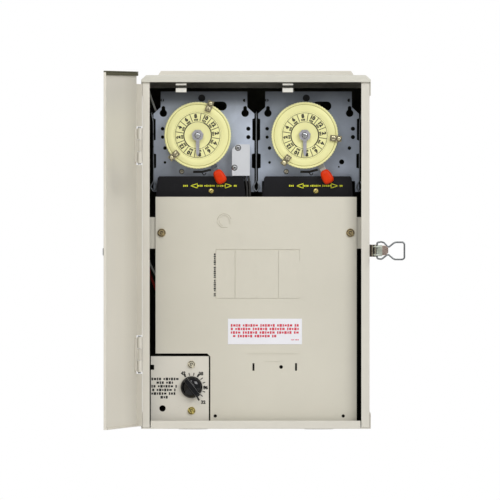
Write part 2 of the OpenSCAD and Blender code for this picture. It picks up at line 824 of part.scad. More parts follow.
// ---- wires, held along their whole route ----

module red_wires() {
  color("#a3302a") placed() {
    wire([[-90, -84, 220.2], [-104, -80, 216], [-121.2, -68, 214], [-121.2, -84, 178],
      [-107, -88, 143], [-100, -60, 124], [-95, -34, 119], [-95, -18.2, 122]], 1.5, 8);
    wire([[26.5, -84, 220.2], [26, -76, 214], [19, -60, 210], [19, -39.7, 207.4]], 1.5, 8);
  }
}

module dark_wires() {
  color("#232323") placed() {
    wire([[-12.4, -93, 279.4], [-9.9, -92.8, 268], [-9.9, -92.6, 240], [-6, -80, 226],
      [-5, -60, 214], [-15, -39.7, 207.4]], 1.2, 8);
    wire([[-8.6, -93, 279.4], [-6.7, -92.8, 268], [-6.7, -92.6, 240], [0, -74, 212],
      [0, -64, 100], [-46, -80, 74], [-53.4, -92, 60]], 1.2, 8);
  }
}

module grey_wires() {
  color("#a9aaa6") placed() {
    wire([[-92, -66, 346], [-104, -78, 341], [-111.6, -82.5, 352], [-117.2, -82.5, 368],
      [-121.3, -82, 380], [-121.3, -82, 330], [-121.3, -98, 232], [-121.3, -100, 188],
      [-108, -101, 163], [-100, -70, 142], [-95, -34, 137.3], [-95, -18.2, 137.3]], 1.2, 8);
  }
}

back_box();
bottom_pan();
roof_cap();
conduit_plugs();
door_panel();
door_top_strip();
door_strike();
hinge_box_leaves();
hinge_door_leaves();
hinge_pins();
latch_base();
latch_clevis();
latch_tab();
latch_rivets();
latch_bail();
deadfront_panel();
deadfront_brackets();
deadfront_screws();
panel_label();
load_centre_base();
bus_bars();
terminal_bars();
thermostat_plate();
thermostat_body();
thermostat_knob();
thermostat_screws();
thermostat_sensor();
left_timer_plate();
right_timer_plate();
timer_posts();
dial_arbors();
dial_pointers();
left_dial();
right_dial();
left_dial_gear();
right_dial_gear();
left_trippers();
right_trippers();
left_motor();
right_motor();
left_pinion();
right_pinion();
left_trip_lever();
right_trip_lever();
left_lever_knob();
right_lever_knob();
left_switch_block();
right_switch_block();
terminal_screws();
plate_screws();
retaining_wires();
left_cover();
right_cover();
cover_screws();
fireman_switch();
fireman_screws();
top_clips();
red_wires();
dark_wires();
grey_wires();
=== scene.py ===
import json
import math

import bmesh
import bpy
from mathutils import Matrix, Vector


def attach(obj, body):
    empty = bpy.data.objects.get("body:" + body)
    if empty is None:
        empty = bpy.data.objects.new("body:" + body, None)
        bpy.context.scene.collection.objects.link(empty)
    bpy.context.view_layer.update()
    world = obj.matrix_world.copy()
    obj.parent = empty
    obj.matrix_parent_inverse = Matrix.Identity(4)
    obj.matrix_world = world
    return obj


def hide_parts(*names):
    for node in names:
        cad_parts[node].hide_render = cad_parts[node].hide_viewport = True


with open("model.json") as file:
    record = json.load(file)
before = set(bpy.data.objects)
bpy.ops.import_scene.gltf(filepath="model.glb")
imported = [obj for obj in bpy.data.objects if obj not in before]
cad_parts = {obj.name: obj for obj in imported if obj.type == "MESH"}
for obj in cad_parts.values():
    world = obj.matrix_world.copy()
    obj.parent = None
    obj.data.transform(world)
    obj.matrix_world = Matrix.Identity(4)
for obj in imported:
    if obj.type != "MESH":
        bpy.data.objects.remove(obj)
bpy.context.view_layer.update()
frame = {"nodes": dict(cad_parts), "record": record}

WALL_Z = 195.0  # height of the row origin above the bottom of the box, in mm
PHOTO_PX = 0.9  # pixels of the photo in a millimetre at the front of the box

# Faces that carry print or screws, as their Y in mm
PLATE_Y, COVER_Y, FIREMAN_Y, THERMOSTAT_Y, DEADFRONT_Y = -88.0, -96.0, -98.0, -110.4, -112.0
LABEL_Y, LATCH_Y = -112.36, -126.0

# Centres of the turning parts, as (x, z) in mm
LEFT, RIGHT = (-64.9, 325.0), (54.3, 325.0)
SIDES = (("left", LEFT), ("right", RIGHT))
KNOB = (-71.7, 44.9)

NODES = frame["nodes"]
BODY_OF = {n: b for b, ns in frame["record"]["behaviour"]["bodies"].items() for n in ns}
SLOT_OF = {s["node"]: s["material_slot"] for s in frame["record"]["subparts"]}


def P(x, y, z):
    """A point laid out in mm from the bottom of the box, in the row frame."""
    return Vector((x, y, z - WALL_Z)) / 1000.0


def polar(centre, r, a):
    """The (x, z) at radius r and angle a, in radians, about a centre."""
    return centre[0] + r * math.cos(a), centre[1] + r * math.sin(a)


def srgb(r, g, b):
    """Linear colour of an sRGB one out of 255."""
    out = []
    for c in (r, g, b):
        c /= 255.0
        out.append(c / 12.92 if c <= 0.04045 else ((c + 0.055) / 1.055) ** 2.4)
    return (*out, 1.0)


# ---------------------------------------------------------------- materials

def material(name, colour, rough=0.5, metal=0.0, tint=0.06, tint_scale=60.0, grain=900.0, bump=0.05,
             rough_spread=0.08, stretch=(1, 1, 1), specular=0.5, coat=0.0, speck=None, speck_scale=500.0,
             speck_at=0.68, cells=0.0, cell_scale=180.0, painted_shade=(), painted_shade_axis="Z"):
    """A procedural finish: two layers of colour variation, uneven roughness, fine relief and optional specks.
    painted_shade are (place along painted_shade_axis in the row frame, brightness) pairs, shade painted into the
    colour along that axis."""
    m = bpy.data.materials.new(name)
    m.use_nodes = True
    m.diffuse_color = colour
    nt = m.node_tree
    n, link = nt.nodes, nt.links
    n.clear()
    out = n.new("ShaderNodeOutputMaterial")
    bsdf = n.new("ShaderNodeBsdfPrincipled")
    link.new(bsdf.outputs[0], out.inputs[0])
    bsdf.inputs["Metallic"].default_value = metal
    bsdf.inputs["Specular IOR Level"].default_value = specular
    bsdf.inputs["Coat Weight"].default_value = coat
    bsdf.inputs["Coat Roughness"].default_value = 0.08
    where = n.new("ShaderNodeTexCoord")
    mapping = n.new("ShaderNodeMapping")
    mapping.inputs["Scale"].default_value = stretch
    link.new(where.outputs["Object"], mapping.inputs["Vector"])

    def noise(scale, detail, rough_=0.55):
        t = n.new("ShaderNodeTexNoise")
        t.inputs["Scale"].default_value = scale
        t.inputs["Detail"].default_value = detail
        t.inputs["Roughness"].default_value = rough_
        link.new(mapping.outputs[0], t.inputs["Vector"])
        return t

    broad = noise(tint_scale, 4.0)
    fine = noise(grain, 3.0)
    ramp = n.new("ShaderNodeValToRGB")
    ramp.color_ramp.elements[0].position = 0.3
    ramp.color_ramp.elements[1].position = 0.72
    ramp.color_ramp.elements[0].color = tuple(c * (1 - tint) for c in colour[:3]) + (1,)
    ramp.color_ramp.elements[1].color = tuple(min(1.0, c * (1 + tint * 0.6)) for c in colour[:3]) + (1,)
    link.new(broad.outputs["Fac"], ramp.inputs[0])
    tone = ramp.outputs[0]
    if cells:
        v = n.new("ShaderNodeTexVoronoi")
        v.inputs["Scale"].default_value = cell_scale
        link.new(mapping.outputs[0], v.inputs["Vector"])
        bw = n.new("ShaderNodeRGBToBW")
        link.new(v.outputs["Color"], bw.inputs[0])
        cr = n.new("ShaderNodeMapRange")
        cr.inputs["To Min"].default_value = 1 - cells
        cr.inputs["To Max"].default_value = 1 + cells * 0.6
        link.new(bw.outputs[0], cr.inputs["Value"])
        mul = n.new("ShaderNodeVectorMath")
        mul.operation = "SCALE"
        link.new(tone, mul.inputs[0])
        link.new(cr.outputs[0], mul.inputs["Scale"])
        tone = mul.outputs[0]
    if speck:
        s = noise(speck_scale, 2.0, 0.7)
        cut = n.new("ShaderNodeValToRGB")
        cut.color_ramp.elements[0].position = speck_at
        cut.color_ramp.elements[1].position = speck_at + 0.07
        cut.color_ramp.elements[0].color = (0, 0, 0, 1)
        cut.color_ramp.elements[1].color = (1, 1, 1, 1)
        link.new(s.outputs["Fac"], cut.inputs[0])
        mix = n.new("ShaderNodeMix")
        mix.data_type = "RGBA"
        link.new(cut.outputs[0], mix.inputs["Factor"])
        link.new(tone, mix.inputs["A"])
        mix.inputs["B"].default_value = speck
        tone = mix.outputs["Result"]
    # Painted shade: the colour is darkened along one axis by the given brightness steps
    if painted_shade:
        low, high = painted_shade[0][0], painted_shade[-1][0]
        xyz = n.new("ShaderNodeSeparateXYZ")
        link.new(where.outputs["Object"], xyz.inputs[0])
        span = n.new("ShaderNodeMapRange")
        span.inputs["From Min"].default_value = low
        span.inputs["From Max"].default_value = high
        link.new(xyz.outputs[painted_shade_axis], span.inputs["Value"])
        fade = n.new("ShaderNodeValToRGB")
        steps = fade.color_ramp.elements
        for i, (place, k) in enumerate(painted_shade):
            at = (place - low) / (high - low)
            e = steps[0] if i == 0 else steps[1] if i == 1 else steps.new(at)
            e.position = at
            e.color = (k, k, k, 1)
        link.new(span.outputs[0], fade.inputs[0])
        grade = n.new("ShaderNodeVectorMath")
        grade.operation = "MULTIPLY"
        link.new(tone, grade.inputs[0])
        link.new(fade.outputs[0], grade.inputs[1])
        tone = grade.outputs[0]
    link.new(tone, bsdf.inputs["Base Color"])
    rr = n.new("ShaderNodeMapRange")
    rr.inputs["From Min"].default_value = 0.3
    rr.inputs["From Max"].default_value = 0.7
    rr.inputs["To Min"].default_value = max(0.02, rough - rough_spread)
    rr.inputs["To Max"].default_value = min(1.0, rough + rough_spread)
    link.new(broad.outputs["Fac"], rr.inputs["Value"])
    link.new(rr.outputs[0], bsdf.inputs["Roughness"])
    relief = n.new("ShaderNodeBump")
    relief.inputs["Strength"].default_value = bump
    relief.inputs["Distance"].default_value = 0.0004
    link.new(fine.outputs["Fac"], relief.inputs["Height"])
    link.new(relief.outputs[0], bsdf.inputs["Normal"])
    return m


M = {
    # case_paint carries painted shade: darker towards the right of the box (+X)
    "case_paint": material("case_paint", srgb(229, 225, 214), 0.42, tint=0.025, tint_scale=14, bump=0.10,
                           speck=srgb(196, 190, 172), speck_scale=900, speck_at=0.72, painted_shade_axis="X",
                           painted_shade=((-0.13, 1.0), (0.13, 0.89))),
    "roof_paint": material("roof_paint", srgb(216, 214, 203), 0.40, tint=0.025, tint_scale=12, bump=0.10,
                           speck=srgb(198, 193, 176), speck_scale=900, speck_at=0.73),
    # door_paint carries painted shade: darker towards the door's hinge side
    "door_paint": material("door_paint", srgb(233, 228, 215), 0.44, tint=0.025, tint_scale=10, bump=0.10,
                           speck=srgb(196, 190, 172), speck_scale=900, speck_at=0.73, painted_shade_axis="X",
                           painted_shade=((-0.172, 1.0), (-0.147, 1.0), (-0.1385, 0.9), (-0.134, 0.83), (-0.124, 0.83))),
    "panel_paint": material("panel_paint", srgb(216, 212, 198), 0.42, tint=0.03, tint_scale=11, bump=0.10,
                            speck=srgb(190, 184, 164), speck_scale=900, speck_at=0.73),
    "plug_steel": material("plug_steel", srgb(190, 190, 184), 0.38, 0.9, cells=0.18, cell_scale=260),
    "seal": material("seal", srgb(92, 90, 70), 0.9, tint=0.2, tint_scale=300, grain=1600, bump=0.5, specular=0.2),
    "zinc_steel": material("zinc_steel", srgb(196, 198, 200), 0.32, 1.0, tint=0.1, cells=0.14, cell_scale=420,
                           stretch=(1, 1, 0.25)),
    "bronze_finish": material("bronze_finish", srgb(84, 70, 58), 0.42, 0.7, tint=0.25, tint_scale=220,
                              speck=srgb(140, 118, 92), speck_scale=700, speck_at=0.62),
    "tab_metal": material("tab_metal", srgb(206, 184, 172), 0.30, 0.9, tint=0.12, tint_scale=240),
    "bright_wire": material("bright_wire", srgb(130, 133, 135), 0.3, 0.7, tint=0.16, tint_scale=260),
    "antique_brass": material("antique_brass", srgb(190, 170, 126), 0.34, 0.6, tint=0.3, tint_scale=520,
                              speck=srgb(80, 66, 44), speck_scale=1300, speck_at=0.6),
    "label_white": material("label_white", srgb(240, 240, 246), 0.5, tint=0.015, tint_scale=60, bump=0.02),
    "dark_plastic": material("dark_plastic", srgb(48, 47, 46), 0.5, tint=0.12, tint_scale=90, bump=0.12),
    "copper": material("copper", srgb(208, 142, 98), 0.3, 1.0, tint=0.18, tint_scale=120, stretch=(1, 1, 0.15)),
    "bar_aluminium": material("bar_aluminium", srgb(200, 201, 200), 0.35, 1.0, tint=0.1, stretch=(1, 1, 0.1)),
    "knob_black": material("knob_black", srgb(10, 10, 15), 0.11, tint=0.15, tint_scale=120, bump=0.02, specular=0.3,
                           coat=0.3),
    # timer_zinc carries painted shade: dark at the top where the roof's shadow falls, and darker towards the bottom
    "timer_zinc": material("timer_zinc", srgb(206, 215, 230), 0.38, 0.45, tint=0.10, tint_scale=34, bump=0.06,
                           cells=0.05, cell_scale=90, rough_spread=0.1,
                           painted_shade=((0.070, 0.46), (0.095, 0.66), (0.125, 0.98), (0.152, 1.0), (0.162, 0.86),
                                  (0.170, 0.34), (0.179, 0.15))),
    # A darker copy of timer_zinc, as painted shade for the right plate
    "timer_zinc_shaded": material("timer_zinc_shaded", srgb(200, 210, 226), 0.38, 0.45, tint=0.10, tint_scale=34,
                                  bump=0.06, cells=0.05, cell_scale=90, rough_spread=0.1,
                                  painted_shade=((0.070, 0.58), (0.095, 0.8), (0.125, 0.70), (0.150, 0.66),
                                         (0.162, 0.58), (0.170, 0.36), (0.179, 0.2))),
    "pointer_metal": material("pointer_metal", srgb(206, 205, 212), 0.36, 0.85, tint=0.1, tint_scale=300),
    "dial_yellow": material("dial_yellow", srgb(243, 240, 174), 0.36, 0.0, tint=0.035, tint_scale=40, bump=0.05,
                            coat=0.15),
    "gear_brass": material("gear_brass", srgb(204, 168, 96), 0.3, 1.0, tint=0.15, tint_scale=160),
    "tripper_metal": material("tripper_metal", srgb(188, 178, 146), 0.3, 0.8, tint=0.3, tint_scale=420,
                              speck=srgb(136, 122, 90), speck_scale=1100, speck_at=0.64),
    "motor_can": material("motor_can", srgb(38, 38, 41), 0.42, 0.2, cells=0.12, cell_scale=200),
    "lever_steel": material("lever_steel", srgb(196, 194, 186), 0.34, 0.5, tint=0.16, tint_scale=260),
    "knob_orange": material("knob_orange", srgb(216, 53, 1), 0.42, tint=0.06, tint_scale=90, bump=0.05,
                            specular=0.18),
    "brass": material("brass", srgb(226, 208, 122), 0.28, 0.6, tint=0.16, tint_scale=420),
    "cover_black": material("cover_black", srgb(17, 17, 22), 0.42, tint=0.3, tint_scale=30, grain=700, bump=0.12,
                            specular=0.3),
    "switch_grey": material("switch_grey", srgb(208, 211, 216), 0.42, tint=0.03, tint_scale=60, bump=0.08),
    "clip_white": material("clip_white", srgb(232, 230, 222), 0.4, tint=0.03, tint_scale=90, bump=0.05),
    "wire_red": material("wire_red", srgb(178, 44, 40), 0.4, tint=0.12, tint_scale=140),
    "wire_dark": material("wire_dark", srgb(44, 43, 42), 0.42, tint=0.12, tint_scale=140),
    "wire_grey": material("wire_grey", srgb(176, 178, 172), 0.42, tint=0.08, tint_scale=140),
    "spring_steel": material("spring_steel", srgb(138, 143, 148), 0.34, 0.7, tint=0.14, tint_scale=260),
    "clevis_zinc": material("clevis_zinc", srgb(208, 214, 202), 0.34, 0.35, tint=0.12, tint_scale=200),
    "screw_pale": material("screw_pale", srgb(236, 229, 206), 0.3, 0.4, tint=0.12, tint_scale=420),
    "brass_pale": material("brass_pale", srgb(222, 214, 176), 0.26, 0.7, tint=0.26, tint_scale=420),
    # A dark olive for the box's inside faces: painted shade
    "painted_interior_shade": material("painted_interior_shade", srgb(58, 57, 48), 0.75, tint=0.15, tint_scale=30, bump=0.1, specular=0.2),
    "ink_black": material("ink_black", srgb(34, 32, 28), 0.55, tint=0.3, tint_scale=400, bump=0.02),
    "stamp_shade": material("stamp_shade", srgb(170, 164, 144), 0.5, tint=0.05, tint_scale=200, bump=0.02),
    # An ochre for the painted shade of the dials' grooves
    "groove_shade_ochre": material("groove_shade_ochre", srgb(150, 142, 78), 0.6, tint=0.2, tint_scale=200, bump=0.02),
    "ink_red": material("ink_red", srgb(214, 62, 82), 0.5, tint=0.12, tint_scale=300, bump=0.02),
    "ink_lime": material("ink_lime", srgb(222, 226, 48), 0.45, tint=0.1, tint_scale=300, bump=0.02),
}


# ---------------------------------------------------------------- mesh helpers

def mesh_of(bm, name):
    """A mesh from a bmesh, which is freed."""
    me = bpy.data.meshes.new(name)
    bm.to_mesh(me)
    bm.free()
    return me


def subdivided(obj, levels):
    s = obj.modifiers.new("round", "SUBSURF")
    s.levels = s.render_levels = levels


def smooth(obj, angle):
    """Smooth shading with edges kept sharp above an angle."""
    bm = bmesh.new()
    bm.from_mesh(obj.data)
    for f in bm.faces:
        f.smooth = True
    limit = math.radians(angle)
    for e in bm.edges:
        e.smooth = not (len(e.link_faces) == 2 and e.calc_face_angle(0) > limit)
    bm.to_mesh(obj.data)
    bm.free()


def add(name, mesh, mat, body, replaces=(), sharp=32):
    """A finished piece: a mesh in the row frame that rides on a body."""
    obj = bpy.data.objects.new(name, mesh)
    bpy.context.scene.collection.objects.link(obj)
    mesh.materials.clear()
    mesh.materials.append(mat)
    if sharp is not None:
        smooth(obj, sharp)
    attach(obj, body)
    if replaces:
        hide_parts(*replaces)
    return obj


def skin(node, width, segments=2, mat=None):
    """A CAD node's own shape with its edges rounded as folded or moulded ones are."""
    mesh = NODES[node].data.copy()
    mesh.name = node + "_skin"
    bm = bmesh.new()
    bm.from_mesh(mesh)
    bmesh.ops.remove_doubles(bm, verts=bm.verts, dist=2e-6)
    bmesh.ops.dissolve_limit(bm, angle_limit=math.radians(0.6), verts=bm.verts, edges=bm.edges)
    bm.normal_update()
    bm.to_mesh(mesh)
    bm.free()
    slot = SLOT_OF[node]
    obj = add(node + "_skin", mesh, mat or M[slot], BODY_OF[node], (node,), sharp=None)
    b = obj.modifiers.new("edges", "BEVEL")
    b.width = width / 1000.0
    b.segments = segments
    b.limit_method = "ANGLE"
    b.angle_limit = math.radians(38)
    b.use_clamp_overlap = True
    b.harden_normals = False
    for f in obj.data.polygons:
        f.use_smooth = True
    w = obj.modifiers.new("normals", "WEIGHTED_NORMAL")
    w.keep_sharp = True
    w.weight = 80


def repaint(node, z, mat, chosen):
    """A node's skin cut level at a height; chosen(face, height) picks the faces that take another material."""
    obj = bpy.data.objects[node + "_skin"]
    bm = bmesh.new()
    bm.from_mesh(obj.data)
    line = P(0, 0, z)
    bmesh.ops.bisect_plane(bm, geom=bm.verts[:] + bm.edges[:] + bm.faces[:], dist=1e-7, plane_co=line,
                           plane_no=(0, 0, 1))
    for f in bm.faces:
        if chosen(f, line.z):
            f.material_index = 1
    bm.to_mesh(obj.data)
    bm.free()
    obj.data.materials.append(mat)


def revolve(profile, seg, centre, wobble=None):
    """A closed body turned about a line along Y through centre (x, z): profile is (radius, y) pairs, from the axis
    out at the front round to the axis at the back, or a ring's closed section where none touches the axis.
    wobble(i, r) may change the radius of the i-th point of a ring."""
    bm = bmesh.new()
    cx, cz = centre
    rings = []
    for r, y in profile:
        if r == 0:
            rings.append([bm.verts.new(P(cx, y, cz))])
            continue
        ring = []
        for i in range(seg):
            a = 2 * math.pi * i / seg
            x, z = polar(centre, wobble(i, r) if wobble else r, a)
            ring.append(bm.verts.new(P(x, y, z)))
        rings.append(ring)
    pairs = list(zip(rings, rings[1:]))
    if len(rings[0]) > 1:
        pairs.append((rings[-1], rings[0]))
    for a, b in pairs:
        for i in range(seg):
            k = (i + 1) % seg
            if len(a) == 1:
                bm.faces.new((a[0], b[i], b[k]))
            elif len(b) == 1:
                bm.faces.new((a[i], b[0], a[k]))
            else:
                bm.faces.new((a[i], b[i], b[k], a[k]))
    bmesh.ops.recalc_face_normals(bm, faces=bm.faces)
    return mesh_of(bm, "turned")


def tube_into(bm, pts, r, sides=16):
    """A round wire along points in the row frame, with closed rounded ends."""
    n = len(pts)
    dirs = []
    for i in range(n):
        d = Vector((0, 0, 0))
        if i:
            d += (pts[i] - pts[i - 1]).normalized()
        if i < n - 1:
            d += (pts[i + 1] - pts[i]).normalized()
        dirs.append(d.normalized())
    side = dirs[0].orthogonal().normalized()
    rings = []
    for i in range(n):
        side = (side - dirs[i] * side.dot(dirs[i])).normalized()
        up = dirs[i].cross(side)
        steps = [(0.0, 1.0)]
        if i == 0:
            steps = [(-0.375, 0.45), (-0.2, 0.85), (0.0, 1.0)]
        if i == n - 1:
            steps = [(0.0, 1.0), (0.2, 0.85), (0.375, 0.45)]
        for along, k in steps:
            rings.append([bm.verts.new(pts[i] + dirs[i] * r * along + (side * math.cos(2 * math.pi * s / sides)
                          + up * math.sin(2 * math.pi * s / sides)) * r * k) for s in range(sides)])
    for a, b in zip(rings, rings[1:]):
        for s in range(sides):
            t = (s + 1) % sides
            bm.faces.new((a[s], a[t], b[t], b[s]))
    bm.faces.new(list(reversed(rings[0])))
    bm.faces.new(rings[-1])


def rounded(points, keep=0.42, steps=8):
    """Points in mm with every corner rounded, in the row frame."""
    pts = [P(*p) for p in points]
    out = [pts[0]]
    for a, b, c in zip(pts, pts[1:], pts[2:]):
        u, v = a - b, c - b
        k = min(u.length, v.length) * keep
        p, q = b + u.normalized() * k, b + v.normalized() * k
        for i in range(steps + 1):
            t = i / steps
            out.append((1 - t) ** 2 * p + 2 * t * (1 - t) * b + t * t * q)
    return out + [pts[-1]]


def tube(name, routes, r, body, node, slot, sides=16):
    """Round wires of radius r in mm that stand for a node; the slot names their material."""
    bm = bmesh.new()
    for route in routes:
        tube_into(bm, route, r / 1000.0, sides)
    bmesh.ops.recalc_face_normals(bm, faces=bm.faces)
    add(name, mesh_of(bm, name), M[slot], body, (node,), sharp=60)


class Print:
    """Flat printed marks on a face that looks towards -Y, as one thin mesh."""

    def __init__(self, y, thick=0.06):
        self.bm = bmesh.new()
        self.y = y
        self.thick = thick

    def polygon(self, pts):
        front = [self.bm.verts.new(P(x, self.y - self.thick, z)) for x, z in pts]
        back = [self.bm.verts.new(P(x, self.y, z)) for x, z in pts]
        self.bm.faces.new(front)
        self.bm.faces.new(list(reversed(back)))
        for i in range(len(pts)):
            k = (i + 1) % len(pts)
            self.bm.faces.new((front[i], back[i], back[k], front[k]))

    def bar(self, x, z, w, h, turn=0.0):
        c, s = math.cos(math.radians(turn)), math.sin(math.radians(turn))
        self.polygon([(x + u * w / 2 * c - v * h / 2 * s, z + u * w / 2 * s + v * h / 2 * c)
                      for u, v in ((-1, -1), (1, -1), (1, 1), (-1, 1))])

    def arc(self, cx, cz, r, w, a0=0.0, a1=360.0, seg=96):
        n = max(2, int(seg * abs(a1 - a0) / 360))
        for i in range(n):
            t0, t1 = (math.radians(a0 + (a1 - a0) * (i + k) / n) for k in (0, 1))
            self.polygon([polar((cx, cz), q, t)
                          for q, t in ((r - w / 2, t0), (r + w / 2, t0), (r + w / 2, t1), (r - w / 2, t1))])

    def text(self, words, x, z, size, turn=0.0, bold=0.0):
        """Plain numerals, centred on (x, z) and turned by an angle."""
        cu = bpy.data.curves.new("words", "FONT")
        cu.body = words
        cu.size = size
        cu.align_x, cu.align_y = "CENTER", "CENTER"
        cu.offset = bold
        cu.resolution_u = 3
        ob = bpy.data.objects.new("words", cu)
        bpy.context.scene.collection.objects.link(ob)
        bpy.context.view_layer.update()
        me = bpy.data.meshes.new_from_object(ob.evaluated_get(bpy.context.evaluated_depsgraph_get()))
        c, s = math.cos(math.radians(turn)), math.sin(math.radians(turn))
        flat = bmesh.new()
        flat.from_mesh(me)
        bmesh.ops.dissolve_limit(flat, angle_limit=0.01, verts=flat.verts, edges=flat.edges)
        for f in flat.faces:
            self.polygon([(x + v.co.x * c - v.co.y * s, z + v.co.x * s + v.co.y * c) for v in f.verts])
        flat.free()
        bpy.data.objects.remove(ob)
        bpy.data.curves.remove(cu)
        bpy.data.meshes.remove(me)

    def words(self, x0, x1, z, h, seed=0, vertical=False):
        """A line of small blocks that stands for print, with gaps between words."""
        x, i = x0, seed
        while x < x1:
            w = h * (0.62, 0.9, 0.5, 0.75)[i % 4]
            tall = h * (1.0, 0.8, 1.0, 0.9, 0.7)[i % 5]
            if x + w > x1:
                break
            if vertical:
                self.bar(z, x + w / 2, tall, w)
            else:
                self.bar(x + w / 2, z, w, tall)
            x += w + h * (0.26 if (i * 7 + 3) % 6 else 0.9)
            i += 1

    def done(self, name, mat, body):
        bmesh.ops.recalc_face_normals(self.bm, faces=self.bm.faces)
        add(name, mesh_of(self.bm, name), M[mat], body, sharp=20)


# ---------------------------------------------------------------- enclosure and door

E = "enclosure"

# Each node's rounding in mm, where its own CAD shape is shown
EDGES = {
    "back_box": 0.55, "bottom_pan": 0.5, "roof_cap": 0.5, "conduit_plugs": 0.4, "door_panel": 0.6,
    "door_top_strip": 0.7, "door_strike": 0.5, "hinge_box_leaves": 0.3, "hinge_door_leaves": 0.3,
    "hinge_pins": 0.35, "latch_base": 0.35, "latch_tab": 0.35, "latch_rivets": 0.7, "deadfront_panel": 0.5,
    "deadfront_brackets": 0.5, "panel_label": 0.05, "load_centre_base": 1.0, "bus_bars": 0.4,
    "terminal_bars": 0.5, "thermostat_plate": 0.45, "thermostat_body": 0.9, "left_timer_plate": 0.3,
    "right_timer_plate": 0.3, "timer_posts": 0.5, "dial_arbors": 0.25, "left_dial_gear": 0.15,
    "right_dial_gear": 0.15, "left_motor": 1.2, "right_motor": 1.2, "left_pinion": 0.12, "right_pinion": 0.12,
    "left_trip_lever": 0.35, "right_trip_lever": 0.35, "left_switch_block": 0.8, "right_switch_block": 0.8,
    "left_cover": 0.3, "right_cover": 0.3, "fireman_switch": 0.9, "top_clips": 0.4, "terminal_screws": 0.4,
    "dial_pointers": 0.35, "latch_clevis": 0.4,
}
# Nodes whose finish differs from the others in their slot; the right timer plate's darker zinc and the left trip
# lever's darker spring steel are painted shade
OTHER = {
    "left_trip_lever": "spring_steel", "right_timer_plate": "timer_zinc_shaded",
    "thermostat_plate": "case_paint", "latch_clevis": "clevis_zinc",
}
for node, width in EDGES.items():
    skin(node, width, mat=M[OTHER[node]] if node in OTHER else None)

# The inside of the box is painted dark as painted shade, up to a line below the roof
PAINTED_SHADE_TOP, INSIDE_HW = 377.8, 126.2


def inside(f, top):
    c = f.calc_center_median()
    inward = f.normal.y < -0.5 and c.y > -0.01 or f.normal.x * c.x < 0 and abs(f.normal.x) > 0.5
    return inward and abs(c.x) < INSIDE_HW / 1000 and c.z < top


repaint("back_box", PAINTED_SHADE_TOP, M["painted_interior_shade"], inside)
# The sealing strip runs over the door's top edge
repaint("door_panel", 394.2, M["seal"], lambda f, line: f.calc_center_median().z > line)

# ---------------------------------------------------------------- dials

# A dial's section, as (radius, y): face, number ring, raised rim, back and sleeve
DIAL = [(2.56, -103.6), (6.0, -103.9), (9.0, -104.1), (14.4, -104.0), (14.8, -104.2), (25.4, -104.2),
        (26.0, -104.05), (27.2, -104.3), (29.0, -104.75), (30.2, -104.85), (31.4, -104.7), (33.4, -104.3),
        (34.1, -104.05), (34.5, -103.6), (34.9, -104.0), (35.4, -104.3), (36.6, -104.25), (37.15, -103.95),
        (37.3, -103.5), (37.3, -102.2), (36.8, -101.7), (12.0, -101.6), (5.0, -101.6), (5.0, -94.3),
        (3.85, -94.2), (3.85, -91.1), (2.56, -91.0)]


def notched(least, depth):
    """A wobble that cuts fine notches into every radius above the least."""
    return lambda i, r: r - depth if r > least and i % 4 < 2 else r


DIAL_TURN = -9.0  # where the printed hours stand in the photo, in degrees
INK_Y = -104.2  # front of the dials' number ring


for side, at in SIDES:
    body = f"{side}_dial_body"
    add(f"{side}_dial_face", revolve(DIAL, 288, at, notched(37.0, 0.4)), M["dial_yellow"], body,
        (f"{side}_dial",), sharp=40)
    # Painted shade: ochre lines where the dial's rim groove and the number ring's step fall into shade
    groove_shade = Print(-104.13, 0.05)
    groove_shade.arc(*at, 34.3, 0.26, seg=144)
    groove_shade.arc(*at, 26.6, 0.2, seg=144)
    groove_shade.done(f"{side}_dial_groove_shade", "groove_shade_ochre", body)
    ink = Print(INK_Y)
    ink.arc(*at, 25.0, 0.4)
    ink.arc(*at, 15.0, 0.4)
    # Day and night bands
    ink.arc(*at, 15.4, 1.1, -48, 66)
    ink.arc(*at, 15.4, 1.1, 118, 236)
    # Quarter hours
    for i in range(96):
        deg = i * 3.75 + DIAL_TURN
        ink.bar(*polar(at, 24.3, math.radians(deg)), 0.9, 0.16, deg)
    # Every second hour has a long line, the hours between them a number and three small blocks
    for i in range(12):
        deg = i * 30 + DIAL_TURN
        ink.bar(*polar(at, 20.6, math.radians(deg)), 8.8, 0.72, deg)
        a = math.radians(deg + 15)
        ink.text(str(((13 - i) * 2 - 1) % 12 + 1), *polar(at, 21.3, a), 5.7, deg + 15 - 90, 0.4)
        for k in (-1.5, 0, 1.5):
            b = a + k / 17.2
            ink.bar(*polar(at, 17.4, b), 2.2, 1.15, math.degrees(b))
    ink.done(f"{side}_dial_print", "ink_black", body)

HUB_NUT = [(0, -110.3), (1.9, -110.3), (2.5, -110.0), (2.7, -109.4), (3.3, -109.3), (3.3, -109.22), (0, -109.22)]
for side, at in SIDES:
    add(f"{side}_hub_nut", revolve(HUB_NUT, 6, at), M["zinc_steel"], E, sharp=30)
    ink = Print(-109.2, 0.03)
    ink.arc(*at, 3.0, 0.8, seg=48)
    ink.done(f"{side}_hub_ring", "ink_black", E)
    lobes = Print(-107.4, 0.5)
    for i in range(7):
        lobes.arc(*polar(at, 5.6, math.radians(i * 360 / 7 + 13)), 0.6, 1.1, seg=16)
    lobes.done(f"{side}_hub_lobes", "pointer_metal", E)

# ---------------------------------------------------------------- screws

